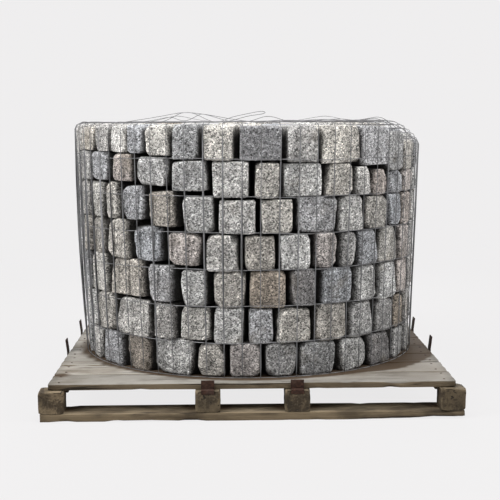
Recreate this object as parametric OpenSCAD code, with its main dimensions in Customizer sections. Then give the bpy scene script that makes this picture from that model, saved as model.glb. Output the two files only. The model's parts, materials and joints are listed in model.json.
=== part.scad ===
// Granite cobbles stacked seven courses high on a timber block pallet, inside a cage of
// welded wire mesh. +Z is up, -Y is the front, and the origin is on the floor at the middle
// of the pallet. All sizes are in millimetres.

/* [Pallet] */
// Width of the deck, left to right
deck_w = 1106; // [1100:1:1300]
// Depth of the deck, front to back
deck_d = 1206; // [1180:1:1400]
// Thickness of a deck board
deck_t = 17; // [12:1:30]
// Number of deck boards
deck_boards = 10; // [6:1:13]
// Gap between two deck boards
deck_gap = 3; // [1:0.5:20]
// How far the blocks stand out past the deck on every side
block_reach = 23; // [12:1:40]
// Width of a block, left to right
block_w = 68; // [50:1:100]
// Depth of a block, front to back
block_d = 70; // [50:1:100]
// Height of the blocks in the front and back rows
block_h = 59; // [45:1:110]
// Distance of the inner block columns from the middle
column_x = 121; // [80:1:200]
// Distance of the inner block rows from the middle
row_y = 160; // [80:1:220]
// Width of a board under the blocks
bottom_w = 95; // [70:1:120]
// Thickness of a board under the blocks
bottom_t = 22; // [15:1:30]
// Width of a bearer under the deck
bearer_w = 54; // [40:1:68]
// Thickness of a bearer under the deck
bearer_t = 17; // [12:1:30]
// How far the outer bearers stand out past the deck
bearer_reach = 4; // [0:1:12]

// How far the edge that is missing from the front board reaches back under it
wane_d = 30; // [5:1:45]
// How high it reaches on the board's face
wane_h = 9; // [2:1:14]

/* [Steel tabs] */
// Width of a tab
tab_w = 37; // [20:1:50]
// Thickness of a tab
tab_t = 4; // [2:0.5:8]
// Length of the foot that is let in under the deck
tab_foot = 34; // [20:1:45]
// How far the front and back tabs stand above the deck
tab_rise = 9; // [4:1:40]
// How far the side tabs stand above the deck
side_tab_rise = 38; // [10:1:60]
// Outward lean of the side tabs above the deck
side_tab_lean = 7; // [0:1:10]

/* [Stack] */
// How far the stack stands forward of the pallet's middle
stack_forward = 42; // [0:1:45]
// Height of a course of stones
course_h = 99.5; // [80:0.5:130]
// Depth of the outer stones, from the cage to the core
stone_depth = 96; // [75:1:120]
// Width of the narrowest rounded edge of a stone
edge_round = 4; // [3:0.5:10]
// How much a stone's edge rounding varies
edge_spread = 5; // [0:0.5:6]
// Most that a stone's top lies above or below its course
step = 4; // [0:0.5:8]
// Open joint left above a stone
bed_gap = 3; // [2:0.5:10]
// Most that a stone's corner is knocked in
corner_loss = 7; // [0:0.5:10]
// Most that a stone's face stands back from the cage
set_back = 6; // [0:0.5:12]

/* [Cage] */
// Radius of the cage on the deck
cage_r = 507; // [420:1:530]
// How much wider the cage is at the top of the stack
cage_flare = 24; // [0:1:30]
// Diameter of the mesh wire
wire_d = 2; // [1.6:0.1:4]
// Number of upright wires
uprights = 64; // [48:4:80]
// Distance between two hoops
hoop_pitch = 100; // [75:1:150]
// Length of the mesh folded in over the stones
fold = 205; // [110:5:250]
// Diameter of the loose wires on top
loop_d = 2; // [1.6:0.1:4]
// Bend radius where the mesh folds in
fold_r = 18; // [8:1:25]

/* [Hidden] */
seat = 0.3;                                   // clearance between pieces that rest together
block_span = deck_w + 2 * block_reach;        // over the blocks, left to right
row_span = deck_d + 2 * block_reach;          // over the blocks, front to back
mid_block_h = block_h - bearer_t;             // the inner rows are lower by a bearer
deck_z = bottom_t + block_h + deck_t;         // top of the deck
deck_board_w = (deck_d - (deck_boards - 1) * deck_gap) / deck_boards;
columns = [-block_span / 2 + block_w / 2, -column_x, column_x, block_span / 2 - block_w / 2];
rows = [-row_span / 2 + block_d / 2, -row_y, row_y, row_span / 2 - block_d / 2];
board_rows = [-row_span / 2 + bottom_w / 2, -row_y, row_y, row_span / 2 - bottom_w / 2];
bearer_x = [-deck_w / 2 - bearer_reach + bearer_w / 2, -column_x, column_x,
            deck_w / 2 + bearer_reach - bearer_w / 2];
bearer_l = row_span - 2 * block_d;
arris = 1.5;                                  // worn edge of a sawn piece
// Where the lower edge of the front board is missing: [x, share of wane_h]
wanes = [[[-400, 0], [-385, 0.6], [-250, 0.4], [-130, 0]],
         [[230, 0], [445, 0.5], [470, 1], [555, 0.8], [575, 0.9]]];
corner_r = 8;                                 // worn upright edges of the outer blocks

// The joints of each course on the front of the ring, bottom course first, in degrees from
// the middle of the front. The joints round the back divide what is left evenly.
front_joints = [
    [-84, -72.5, -61, -46, -33.5, -18, -8, 3.5, 15, 28.5, 42, 56, 68.5, 80],
    [-83, -72.5, -62, -49.5, -33.5, -23.5, -12.5, -1.5, 7, 20, 32.5, 44.5, 56, 67, 78.5],
    [-77, -66.5, -52, -35, -23.5, -13, -1, 11, 22, 34.5, 45.5, 58, 69, 80],
    [-84, -74, -63.5, -53, -40, -27, -15, -3, 8, 19, 28.5, 35.5, 45, 58, 70, 81],
    [-83, -73, -63, -52.5, -44.5, -33.5, -22, -10.5, 2, 13.5, 27.5, 38, 50, 60, 71],
    [-82, -72, -61.5, -49, -37.5, -25, -12.5, 0.5, 9, 22.5, 33.5, 41, 49, 60, 71, 82],
    [-82, -70, -58.5, -48.5, -40.5, -34, -24.5, -15, -4, 9.5, 21.5, 36, 49, 60, 71.5]];
courses = len(front_joints);
back_pitch = 11;                              // degrees of a stone round the back
// Rise of each course's bed at the left and at the right of the front
left_rise = [0, 6, 15, 30, 39, 42, 26, 0];
right_rise = [0, -3, -4, -1, 3, 1, -38, -52];
left_at = -56;
right_at = [63, 63, 63, 63, 63, 63, 63, 80];
rise_reach = 50;                              // degrees over which a rise fades out
top_reach = 35;                               // and a shorter one on the top bed

stack_h = courses * course_h;
core_r = cage_r - stone_depth;
core_z = deck_z + (courses - 1) * course_h;   // the core stops under the top course
fill_rings = 3;
fill_gap = 2;
side_gap = 1;                                 // half the narrowest joint between two stones
fill_pitch = 96;                              // width of an inner stone of the top course
fill_flare = 17;                              // most that it widens outwards on each side
fill_depth = (core_r - seat) / (fill_rings + 0.75);
middle_r = core_r - seat - fill_rings * fill_depth - fill_gap;

wire_r = wire_d / 2;
flat_r = wire_r * cos(30);                    // half a six-sided wire across its flats
weld = 0.5;                                   // how far crossed wires sink into each other
lift = wire_d - weld;                         // from a hoop's middle to an upright's
bend_steps = 2;                               // straight lengths that make the bend
hoops = floor((stack_h + min(right_rise[courses], 0) - fold_r) / hoop_pitch);
lean = atan(cage_flare / stack_h);
fold_hoops = floor((fold - fold_r - 2 * wire_d) / hoop_pitch);
panels = 4;

// Loose wires that spring up from the fold: [angle, distance in from the bend, height]
loops = [
    [[-52, 14, 0], [-46, 14, 0], [-40, 14, 5], [-34, 15, 11], [-28, 15, 18], [-22, 14, 26],
     [-17, 14, 24], [-11, 14, 16], [-6, 14, 8], [-1, 14, 2], [4, 14, 0], [9, 14, 0]],
    [[-36, 40, 0], [-31, 40, 1], [-27, 40, 12], [-23.5, 40, 25], [-20, 40, 26], [-17, 40, 17],
     [-14, 40, 5], [-11, 40, 0], [-6, 40, 0]],
    [[-44, 50, 0], [-38, 50, 3], [-32, 50, 10], [-28, 50, 14], [-25, 50, 6], [-22, 50, 4],
     [-19, 50, 14], [-17, 50, 22], [-14, 50, 18], [-10, 50, 8], [-6, 50, 0], [-2, 50, 0]],
    [[-14, 22, 0], [-10, 22, 0], [-7, 22, 10], [-4, 22, 17], [-1, 22, 22], [2, 22, 27],
     [4, 23, 28], [4.6, 25, 24], [3, 27, 20], [0, 28, 17], [-3, 28, 11], [-6, 28, 4], [-9, 28, 0]],
    [[-5, 8, 0], [-2, 8, 0], [1, 8, 5], [4, 8, 14], [7, 8, 13], [10, 8, 4], [14, 8, 0], [16, 8, 0]],
    [[13, 16, 0], [15.5, 16, 0], [20, 16, 3], [25, 16, 5], [30, 16, 7], [35, 16, 3], [40, 16, 6],
     [46, 16, 12], [50, 16, 10], [54, 16, 3], [58, 16, 0], [61, 16, 0]],
    [[14, 30, 0], [22, 30, 6], [30, 30, 4], [38, 30, 0], [44, 30, 7], [50, 30, 8], [56, 30, 3],
     [62, 30, 0], [70, 30, 0]],
    [[125, 14, 0], [133, 14, 0], [139, 14, 7], [146, 14, 17], [153, 14, 9], [160, 14, 0],
     [163, 14, 0]],
    [[187, 20, 0], [195, 20, 0], [202, 20, 9], [209, 20, 20], [216, 20, 8], [222, 20, 0],
     [226, 20, 0]]];
loop_steps = 2;                               // straight lengths from one point to the next
loop_sides = 5;

// ---- sizes along the cage and the courses

function cage_radius(z) = cage_r + cage_flare * (z - deck_z) / stack_h;

function fade(a, at, reach) = abs(a - at) < reach ? pow(cos(90 * (a - at) / reach), 2) : 0;

// Height of bed k above the deck at the angle a
function bed(k, a) = k * course_h + left_rise[k] * fade(a, left_at, rise_reach)
    + right_rise[k] * fade(a, right_at[k], k == courses ? top_reach : rise_reach);

// Lowest height of the top bed over a stone that reaches from a0 to a1
function lowest(a0, a1) = min(bed(courses, wrap(a0)), bed(courses, wrap(a1)));

// All the joints of course k, in degrees, once round
function back_count(k) = let (f = front_joints[k])
    round((360 - (f[len(f) - 1] - f[0])) / back_pitch);
function joints(k) = let (
        f = front_joints[k], last = f[len(f) - 1], n = back_count(k),
        p = (360 + f[0] - last) / n, j = rands(-0.14, 0.14, n, 40 + k))
    concat(f, [for (i = [1:n - 1]) last + p * (i + j[i])]);

function stone_count(k) = len(joints(k));
function next_joint(j, i) = i + 1 < len(j) ? j[i + 1] : j[0] + 360;

// Angle from -180 to 180
function wrap(a) = a > 180 ? wrap(a - 360) : a < -180 ? wrap(a + 360) : a;

function tops(k) = let (j = joints(k), s = rands(-step, step, len(j), 70 + k))
    [for (i = [0:len(j) - 1]) deck_z + (k == courses - 1
        ? lowest(j[i], next_joint(j, i)) - step + s[i]
        : bed(k + 1, wrap((j[i] + next_joint(j, i)) / 2)) - bed_gap + s[i])];

// Width of the rounded edges of each stone of course k
function edges(k) = [for (e = rands(0, edge_spread, stone_count(k), 120 + k)) edge_round + e];

// How far two stones lie over each other along the core, from the joints of each
function shared(a0, a1, b0, b1) =
    core_r * PI / 180 * max([for (turn = [-360, 0, 360]) min(a1, b1 + turn) - max(a0, b0 + turn)])
    - 2 * (side_gap + edge_round * tan(back_pitch / 2));

// A stone with edges r wide comes to rest on the stones under it, on their flats or edges
function base_z(k, a0, a1, r) = k == 0 ? deck_z : let (
        j = joints(k - 1), t = tops(k - 1), e = edges(k - 1))
    seat + max([for (i = [0:len(j) - 1]) let (w = shared(a0, a1, j[i], next_joint(j, i)))
        if (w > 0) t[i] - max(0, e[i] + r - w)]);

// Puts its children where the stack stands
module on_stack() {
    translate([0, -stack_forward, 0])
        children();
}

// ---- stones

// Convex stone, half width a at y0 and b at y1, with its edges cut back by r. The 24 numbers
// from 0 to 1 in v knock its corners in.
module stone(a, b, y0, y1, z0, z1, r, v) {
    points = [for (ix = [0, 1], iy = [0, 1], iz = [0, 1]) let (
            n = 3 * (4 * ix + 2 * iy + iz),
            sx = 1 - 2 * ix, sy = 1 - 2 * iy, sz = 1 - 2 * iz,
            x = -sx * (iy == 0 ? a : b - corner_loss * v[n]),
            y = (iy == 0 ? y0 : y1 - 0.6 * corner_loss * v[n + 1]),
            z = (iz == 0 ? z0 : z1) + sz * 0.6 * corner_loss * v[n + 2] * (iy == 0 ? 0 : 1))
        each [[x + sx * r, y + sy * r, z], [x + sx * r, y, z + sz * r],
              [x, y + sy * r, z + sz * r]]];
    hull() polyhedron(points, [[for (i = [0:len(points) - 1]) i]]);
}

// The ring of stones of course k, each between two joints and with its back to the core
module ring(k) {
    j = joints(k);
    t = tops(k);
    n = len(j);
    width = rands(0, 1, n, 90 + k);
    depth = rands(0, 1, n, 110 + k);
    edge = edges(k);
    loss = rands(0, 1, 24 * n, 130 + k);
    for (i = [0:n - 1]) {
        a0 = j[i];
        a1 = next_joint(j, i);
        half = (a1 - a0) / 2;
        z0 = base_z(k, a0, a1, edge[i]);
        back = core_r + seat;
        reach = cage_radius(z0) - wire_r - seat;
        a = back * tan(half) - side_gap;
        b = a + (reach * sin(half) - side_gap - a) * width[i];
        face = sqrt(pow(reach, 2) - pow(b, 2)) - set_back * depth[i];
        rotate(180 + a0 + half)
            stone(a, b, back, face, z0, t[i], edge[i], [for (m = [0:23]) loss[24 * i + m]]);
    }
}

// The inner stones of the top course, in rings from the core's edge to the middle
module fill_stones() {
    for (q = [0:fill_rings - 1]) {
        outer = core_r - seat - q * fill_depth;
        inner = outer - fill_depth + fill_gap;
        n = floor(2 * PI * (outer + inner) / 2 / fill_pitch);
        half = 180 / n;
        turn = rands(-180, 180, 1, 200 + q)[0];
        top = rands(-3 * step, 0, n, 210 + q);
        worn = rands(0, 1, n, 220 + q);
        loss = rands(0, 1, 24 * n, 230 + q);
        a = inner * tan(half) - side_gap;
        b = min(a + fill_flare, outer * sin(half) - side_gap);
        for (i = [0:n - 1]) {
            at = turn + 2 * half * i;
            drop = (lowest(at - half, at + half) - stack_h) * outer / core_r;
            rotate(180 + at)
                stone(a, b, inner, sqrt(pow(outer, 2) - pow(b, 2)), core_z,
                      core_z + course_h + min(drop, 0) - bed_gap + top[i],
                      edge_round + edge_spread * worn[i], [for (m = [0:23]) loss[24 * i + m]]);
        }
    }
    loss = rands(0, 1, 96, 240);
    m = middle_r * sin(45);
    for (s = [0:3])
        rotate(90 * s)
            translate([m / 2, 0])
                stone(m / 2 - side_gap, m / 2 - side_gap, side_gap, m, core_z,
                      core_z + course_h - bed_gap - step * (s % 2), edge_round,
                      [for (c = [0:23]) loss[24 * s + c]]);
}

module core() {
    color("dimgray") on_stack()
        translate([0, 0, deck_z])
            cylinder(r = core_r, h = core_z - deck_z, $fn = 96);
}

module course(k) {
    color(["silver", "lightgray", "darkgray"][k % 3]) on_stack()
        ring(k);
}

module top_fill() {
    color("darkgray") on_stack()
        fill_stones();
}

// ---- cage

// Six-sided wire from p to q, longer at each end by what is given
module wire(p, q, before = weld, after = weld) {
    run = q - p;
    translate(p)
        rotate([0, acos(run.z / norm(run)), atan2(run.y, run.x)])
            translate([0, 0, -before])
                cylinder(d = wire_d, h = norm(run) + before + after, $fn = 6);
}

// Height at which the mesh lies folded in at the angle a: a wire's middle, on the top stones
function fold_z(a) = deck_z + bed(courses, a) + seat + wire_r;

// Point at the angle a from the middle of the front
function at_angle(a, r, z) = [r * sin(a), -r * cos(a), z];

// Radius from the stack's axis to the middle of the bend at the angle a
function bend_x(a) = cage_radius(fold_z(a) - fold_r) + lift - fold_r / cos(lean);

// Upright at the angle a: it leans out with the cage, bends in over the stones and runs on to
// the end of the fold
module upright(a) {
    centre = [bend_x(a), fold_z(a) - fold_r];
    foot = [cage_r + lift, deck_z + seat + weld];
    bend = [for (i = [0:bend_steps]) let (t = i * (90 + lean) / bend_steps - lean)
        centre + fold_r * [cos(t), sin(t)]];
    route = concat([foot], bend, [centre + [fold_r - fold, fold_r]]);
    for (i = [1:len(route) - 1])
        wire(at_angle(a, route[i - 1].x, route[i - 1].y), at_angle(a, route[i].x, route[i].y));
}

// A quarter turn of level hoop wire from the angle a
module hoop(a, r, z) {
    translate([0, 0, z])
        rotate(a - 90)
            rotate_extrude(angle = 360 / panels, $fn = 96)
                translate([r, 0])
                    circle(d = wire_d, $fn = 6);
}

// Hoop on the fold, over the uprights at these angles and this far in, by straight lengths
module fold_hoop(angles, inset) {
    last = len(angles) - 1;
    route = [for (a = angles) at_angle(a, bend_x(a) - inset, fold_z(a) + lift)];
    for (i = [1:last])
        wire(route[i - 1], route[i], i == 1 ? -seat / 2 : weld, i == last ? -seat / 2 : weld);
}

// Point between b and c, on the smooth curve through a, b, c and d
function between(a, b, c, d, t) = 0.5 * (2 * b + (c - a) * t + (2 * a - 5 * b + 4 * c - d) * t * t
    + (3 * b - a - 3 * c + d) * t * t * t);

function smooth(p) = let (last = len(p) - 1) [for (i = [0:last - 1], s = [0:loop_steps - 1])
        between(p[max(i - 1, 0)], p[i], p[i + 1], p[min(i + 2, last)], s / loop_steps), p[last]];

// Place of a loose wire's point: at height 0 it lies on the uprights
function loop_point(p) = at_angle(p.x, bend_x(p.x) - p.y,
    fold_z(p.x) + wire_r + seat + loop_d / 2 + p.z);

// Loose wire through the points given as [angle, inset, height]
module loop(points) {
    path = [for (p = smooth(points)) loop_point(p)];
    last = len(path) - 1;
    rings = [for (i = [0:last]) let (
            along = path[min(i + 1, last)] - path[max(i - 1, 0)],
            out = [path[i].x, path[i].y, 0],
            up = cross(out, along) / norm(cross(out, along)),
            side = cross(along, up) / norm(along))
        each [for (s = [0:loop_sides - 1]) let (t = 360 * s / loop_sides)
            path[i] + loop_d / 2 * (cos(t) * side + sin(t) * up)]];
    skin = [for (i = [0:last - 1], s = [0:loop_sides - 1]) let (
            a = i * loop_sides + s, b = i * loop_sides + (s + 1) % loop_sides)
        [a, a + loop_sides, b + loop_sides, b]];
    foot = [for (s = [0:loop_sides - 1]) s];
    tip = [for (s = [loop_sides - 1:-1:0]) last * loop_sides + s];
    polyhedron(rings, concat(skin, [foot, tip]));
}

module top_loops() {
    color("slategray") on_stack()
        for (points = loops)
            loop(points);
}

// One panel of the cage, on its side
module cage(side) {
    start = 90 * side - 45;
    pitch = 360 / uprights;
    stands = [for (i = [0:uprights / panels - 1]) start + (i + 0.5) * pitch];
    angles = concat([start], stands, [start + 360 / panels]);
    level = max([for (a = angles) fold_z(a)]) == min([for (a = angles) fold_z(a)]);
    color("slategray") on_stack() {
        for (a = stands)
            upright(a);
        for (i = [0:hoops])
            hoop(start, cage_radius(deck_z + i * hoop_pitch), deck_z + flat_r + i * hoop_pitch);
        for (i = [0:fold_hoops]) {
            inset = wire_d + i * hoop_pitch;
            if (level) hoop(start, bend_x(start) - inset, fold_z(start) + lift);
            else fold_hoop(angles, inset);
        }
    }
}

// ---- pallet

// Sawn board of length l, width w and thickness t with worn edges, standing on z = 0
module board(l, w, t) {
    translate([-l / 2, 0, 0])
        rotate([90, 0, 90])
            linear_extrude(l)
                polygon([[-w / 2 + arris, 0], [w / 2 - arris, 0], [w / 2, arris],
                         [w / 2, t - arris], [w / 2 - arris, t], [-w / 2 + arris, t],
                         [-w / 2, t - arris], [-w / 2, arris]]);
}

module bottom_board(i) {
    color("tan")
        difference() {
            translate([0, board_rows[i], 0])
                board(block_span - 6, bottom_w, bottom_t);
            if (i == 0)
                for (edge = wanes) wane(edge);
        }
}

// What is missing along one stretch of the front board's lower edge, cut on a slant
module wane(edge) {
    slant = wane_d / wane_h;
    translate([0, -row_span / 2, 0])
        for (i = [1:len(edge) - 1])
            hull()
                polyhedron([for (p = [edge[i - 1], edge[i]])
                    each [[p.x, -1, -1], [p.x, slant + wane_d * p.y, -1],
                          [p.x, -1, 1 / slant + wane_h * p.y]]], [[for (m = [0:5]) m]]);
}

// Plan of a block with its upright corners rounded by r
module block_plan(r) {
    union() {
        square([block_w - 2 * r, block_d], center = true);
        square([block_w, block_d - 2 * r], center = true);
        for (x = [-1, 1], y = [-1, 1])
            translate([x * (block_w / 2 - r), y * (block_d / 2 - r)])
                circle(r = r, $fn = 32);
    }
}

module block_row(i) {
    end = i == 0 || i == len(rows) - 1;
    color("peru")
        difference() {
            for (x = columns)
                translate([x, rows[i], bottom_t])
                    linear_extrude(end ? block_h : mid_block_h)
                        block_plan(abs(x) > column_x ? corner_r : arris);
            for (s = [-1, 1])
                if (end) at_end_tab(sign(rows[i]), s * column_x) tab_seat();
                else at_side_tab(s, rows[i]) tab_seat();
        }
}

module bearer(i) {
    color("tan")
        translate([bearer_x[i], 0, bottom_t + mid_block_h])
            rotate(90)
                board(bearer_l, bearer_w, bearer_t);
}

module deck_board(i) {
    color("burlywood")
        translate([0, -deck_d / 2 + deck_board_w / 2 + i * (deck_board_w + deck_gap),
                   deck_z - deck_t])
            board(deck_w, deck_board_w, deck_t);
}

// ---- steel tabs

// Bent steel tab. Its foot is let in under the piece it carries, with its top at z = 0, and
// its upright stands against that piece's face at x = 0 and leans out above the deck.
module tab(h, rise, tilt) {
    out = rise * tan(tilt);
    color("saddlebrown")
        rotate([90, 0, 0])
            translate([0, 0, -tab_w / 2])
                linear_extrude(tab_w)
                    polygon([[-tab_foot, -tab_t], [tab_t, -tab_t], [tab_t, h],
                             [tab_t + out, h + rise], [out, h + rise], [0, h], [0, 0],
                             [-tab_foot, 0]]);
}

// Where the foot of a tab is let in
module tab_seat() {
    translate([-tab_foot - seat, -tab_w / 2 - seat, -tab_t])
        cube([tab_foot + tab_t + 2 * seat, tab_w + 2 * seat, 2 * tab_t]);
}

// Puts its children at a tab of the front or back (end = -1 or 1), or of the left or right side
module at_end_tab(end, x) {
    translate([x, end * deck_d / 2, bottom_t + block_h])
        rotate(90 * end)
            children();
}

module at_side_tab(side, y) {
    translate([side * (deck_w / 2 + bearer_reach), y, bottom_t + mid_block_h])
        rotate(side > 0 ? 0 : 180)
            children();
}

module end_tab(end, x) {
    at_end_tab(end, x)
        tab(deck_t, tab_rise, 0);
}

module side_tab(side, y) {
    at_side_tab(side, y)
        tab(bearer_t + deck_t, side_tab_rise, side_tab_lean);
}

// ---- nodes

rank = ["front", "mid_front", "mid_back", "back"];   // rows, from the front
file = ["left", "mid_left", "mid_right", "right"];   // columns, from the left
sides = ["front", "right", "back", "left"];

module show(name) {
    children();
}

for (i = [0:3]) {
    show(str("bottom_board_", rank[i])) bottom_board(i);
    show(str("blocks_", rank[i])) block_row(i);
    show(str("bearer_", file[i])) bearer(i);
    show(str("cage_", sides[i])) cage(i);
}
for (i = [1:deck_boards])
    show(str("deck_board_", i)) deck_board(i - 1);
for (e = [-1, 1], s = [-1, 1]) {
    show(str("tab_", e < 0 ? "front" : "back", "_", s < 0 ? "left" : "right"))
        end_tab(e, s * column_x);
    show(str("tab_", s < 0 ? "left" : "right", "_", e < 0 ? "front" : "back"))
        side_tab(s, e * row_y);
}
for (k = [1:courses])
    show(str("course_", k)) course(k - 1);
show("top_fill") top_fill();
show("core") core();
show("top_loops") top_loops();
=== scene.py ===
import itertools
import json
import math
import random

import bpy
import numpy as np
from mathutils import Euler, Matrix, Vector, noise

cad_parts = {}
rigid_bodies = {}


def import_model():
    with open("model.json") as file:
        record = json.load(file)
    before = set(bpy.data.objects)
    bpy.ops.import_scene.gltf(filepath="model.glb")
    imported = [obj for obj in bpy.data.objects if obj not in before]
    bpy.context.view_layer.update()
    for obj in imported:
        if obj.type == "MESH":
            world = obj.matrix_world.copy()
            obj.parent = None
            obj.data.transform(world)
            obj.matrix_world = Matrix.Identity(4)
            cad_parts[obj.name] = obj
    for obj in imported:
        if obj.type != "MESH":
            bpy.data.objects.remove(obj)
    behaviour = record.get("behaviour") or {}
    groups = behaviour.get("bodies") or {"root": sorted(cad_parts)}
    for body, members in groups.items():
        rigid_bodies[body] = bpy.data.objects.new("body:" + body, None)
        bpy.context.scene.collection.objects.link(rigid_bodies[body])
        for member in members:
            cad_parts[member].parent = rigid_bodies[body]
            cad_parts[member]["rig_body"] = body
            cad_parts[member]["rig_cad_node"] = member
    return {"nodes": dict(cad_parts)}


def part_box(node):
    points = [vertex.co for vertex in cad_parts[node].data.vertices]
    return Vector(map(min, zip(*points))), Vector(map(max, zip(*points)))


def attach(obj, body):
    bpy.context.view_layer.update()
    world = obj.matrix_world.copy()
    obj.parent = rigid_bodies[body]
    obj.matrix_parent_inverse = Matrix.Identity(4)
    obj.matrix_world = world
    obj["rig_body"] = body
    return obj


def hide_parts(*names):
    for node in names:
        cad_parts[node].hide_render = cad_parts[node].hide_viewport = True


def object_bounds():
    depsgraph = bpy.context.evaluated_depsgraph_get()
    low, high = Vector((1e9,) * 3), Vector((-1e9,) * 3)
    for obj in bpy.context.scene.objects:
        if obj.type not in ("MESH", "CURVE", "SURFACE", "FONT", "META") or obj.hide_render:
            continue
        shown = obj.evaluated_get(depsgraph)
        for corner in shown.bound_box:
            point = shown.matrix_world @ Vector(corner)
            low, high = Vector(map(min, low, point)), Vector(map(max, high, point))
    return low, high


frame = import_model()
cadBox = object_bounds()
nodes = frame["nodes"]
print("frame loaded:", len(nodes), "nodes")


view = {
    "place": (-0.061, -3.548, 0.807),
    "lens": 80.2,
    "pitch": 6.73,      # degrees down
    "yaw": 1.09,        # degrees to the right
    "roll": 0.29,
}

studio = {
    "paper": (0.863, 0.854, 0.858),      # backdrop seen behind the load
    "floor": (0.50, 0.495, 0.49),
    "floorGlow": 0.93,                   # share of the backdrop's colour on the near floor
    "clearing": (1.0, 3.2),              # the floor turns into the backdrop between these radii
    "world": 0.14,
    # name: place, what it is aimed at, width, height, watts
    "lamps": {
        "leftBox": ((-3.6, -2.1, 2.5), (0.0, 0.0, 0.55), 2.2, 2.0, 256),
        "rightBox": ((3.7, -1.9, 2.5), (0.0, 0.0, 0.55), 2.2, 2.0, 182),
        "topBox": ((-0.2, -0.9, 3.1), (0.0, 0.0, 0.5), 2.6, 1.8, 120),
        "backBox": ((0.4, 3.9, 2.0), (0.0, 0.0, 0.4), 2.6, 2.0, 150),
    },
}


def setCamera():
    bpy.ops.object.camera_add(location=view["place"])
    camera = bpy.context.object
    camera.name = "camera"
    camera.data.lens = view["lens"]
    look = Euler((math.radians(90 - view["pitch"]), 0, math.radians(-view["yaw"]))).to_matrix()
    look = look @ Matrix.Rotation(math.radians(-view["roll"]), 3, "Z")
    camera.rotation_euler = look.to_euler()
    bpy.context.scene.camera = camera
    bpy.context.scene.view_settings.view_transform = "Standard"


class Val:
    # one output of a node, with the operators that the materials use
    def __init__(self, tree, node, output=0):
        self.tree = tree
        self.node = node
        self.socket = node.outputs[output] if node.outputs else None

    def out(self, name):
        return Val(self.tree, self.node, name)

    def maths(self, operation, first, second):
        return addNode(self.tree, "ShaderNodeMath", {"operation": operation}, {0: first, 1: second})

    def __add__(self, other):
        return self.maths("ADD", self, other)

    __radd__ = __add__

    def __sub__(self, other):
        return self.maths("SUBTRACT", self, other)

    def __rsub__(self, other):
        return self.maths("SUBTRACT", other, self)

    def __mul__(self, other):
        return self.maths("MULTIPLY", self, other)

    __rmul__ = __mul__


def addNode(tree, kind, settings=None, sockets=None, output=0):
    node = tree.nodes.new(kind)
    for name, value in (settings or {}).items():
        if name == "stops":
            while len(node.color_ramp.elements) < len(value):
                node.color_ramp.elements.new(0.5)
            for stop, (at, shade) in zip(node.color_ramp.elements, value):
                stop.position = at
                stop.color = (*shade, 1) if isinstance(shade, tuple) else (shade, shade, shade, 1)
        elif name == "interpolation" and kind == "ShaderNodeValToRGB":
            node.color_ramp.interpolation = value
        else:
            setattr(node, name, value)
    for key, value in (sockets or {}).items():
        if isinstance(value, Val):
            tree.links.new(value.socket, node.inputs[key])
        else:
            node.inputs[key].default_value = value
    return Val(tree, node, output)


class Finish:
    # a material in the making
    def __init__(self, name):
        self.material = bpy.data.materials.new(name)
        self.material.use_nodes = True
        self.tree = self.material.node_tree
        self.tree.nodes.clear()

    def add(self, kind, settings=None, sockets=None, output=0):
        return addNode(self.tree, kind, settings, sockets, output)

    def objectPlace(self):
        return self.add("ShaderNodeTexCoord").out("Object")

    def stretched(self, place, scale):
        return self.add("ShaderNodeMapping", None, {"Vector": place, "Scale": scale})

    def attribute(self, name, output):
        return self.add("ShaderNodeAttribute", {"attribute_name": name}).out(output)

    def noise(self, place, scale, detail=3, roughness=0.5, distortion=0):
        sockets = {"Vector": place, "Scale": scale, "Detail": detail, "Roughness": roughness,
                   "Distortion": distortion}
        return self.add("ShaderNodeTexNoise", None, sockets)

    def cells(self, place, scale, output="Distance", **settings):
        return self.add("ShaderNodeTexVoronoi", settings, {"Vector": place, "Scale": scale}).out(output)

    def band(self, value, low, high, fromLow=0.0, fromHigh=1.0):
        # maps low..high smoothly to fromLow..fromHigh
        settings = {"interpolation_type": "SMOOTHSTEP"}
        sockets = {"Value": value, 1: low, 2: high, 3: fromLow, 4: fromHigh}
        return self.add("ShaderNodeMapRange", settings, sockets)

    def ramp(self, value, stops, interpolation="LINEAR"):
        return self.add("ShaderNodeValToRGB", {"stops": stops, "interpolation": interpolation}, {0: value})

    def mix(self, amount, first, second, blend="MIX"):
        settings = {"data_type": "RGBA", "blend_type": blend}
        first, second = [(*c, 1) if isinstance(c, tuple) and len(c) == 3 else c for c in (first, second)]
        return self.add("ShaderNodeMix", settings, {0: amount, 6: first, 7: second}, 2)

    def grey(self, value):
        return self.add("ShaderNodeCombineColor", None, {0: value, 1: value, 2: value})

    def bump(self, height, distance, strength=1.0, normal=None):
        sockets = {"Height": height, "Distance": distance, "Strength": strength}
        if normal is not None:
            sockets["Normal"] = normal
        return self.add("ShaderNodeBump", None, sockets)

    def surface(self, **sockets):
        names = {"colour": "Base Color", "roughness": "Roughness", "metallic": "Metallic", "normal": "Normal",
                 "gloss": "Specular IOR Level"}
        shader = self.add("ShaderNodeBsdfPrincipled", None, {names[k]: v for k, v in sockets.items()})
        self.close(shader)
        return self.material

    def close(self, shader):
        self.add("ShaderNodeOutputMaterial", None, {"Surface": shader})


def only(piece):
    if bpy.context.mode != "OBJECT":
        bpy.ops.object.mode_set(mode="OBJECT")
    bpy.ops.object.select_all(action="DESELECT")
    piece.select_set(True)
    bpy.context.view_layer.objects.active = piece


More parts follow.
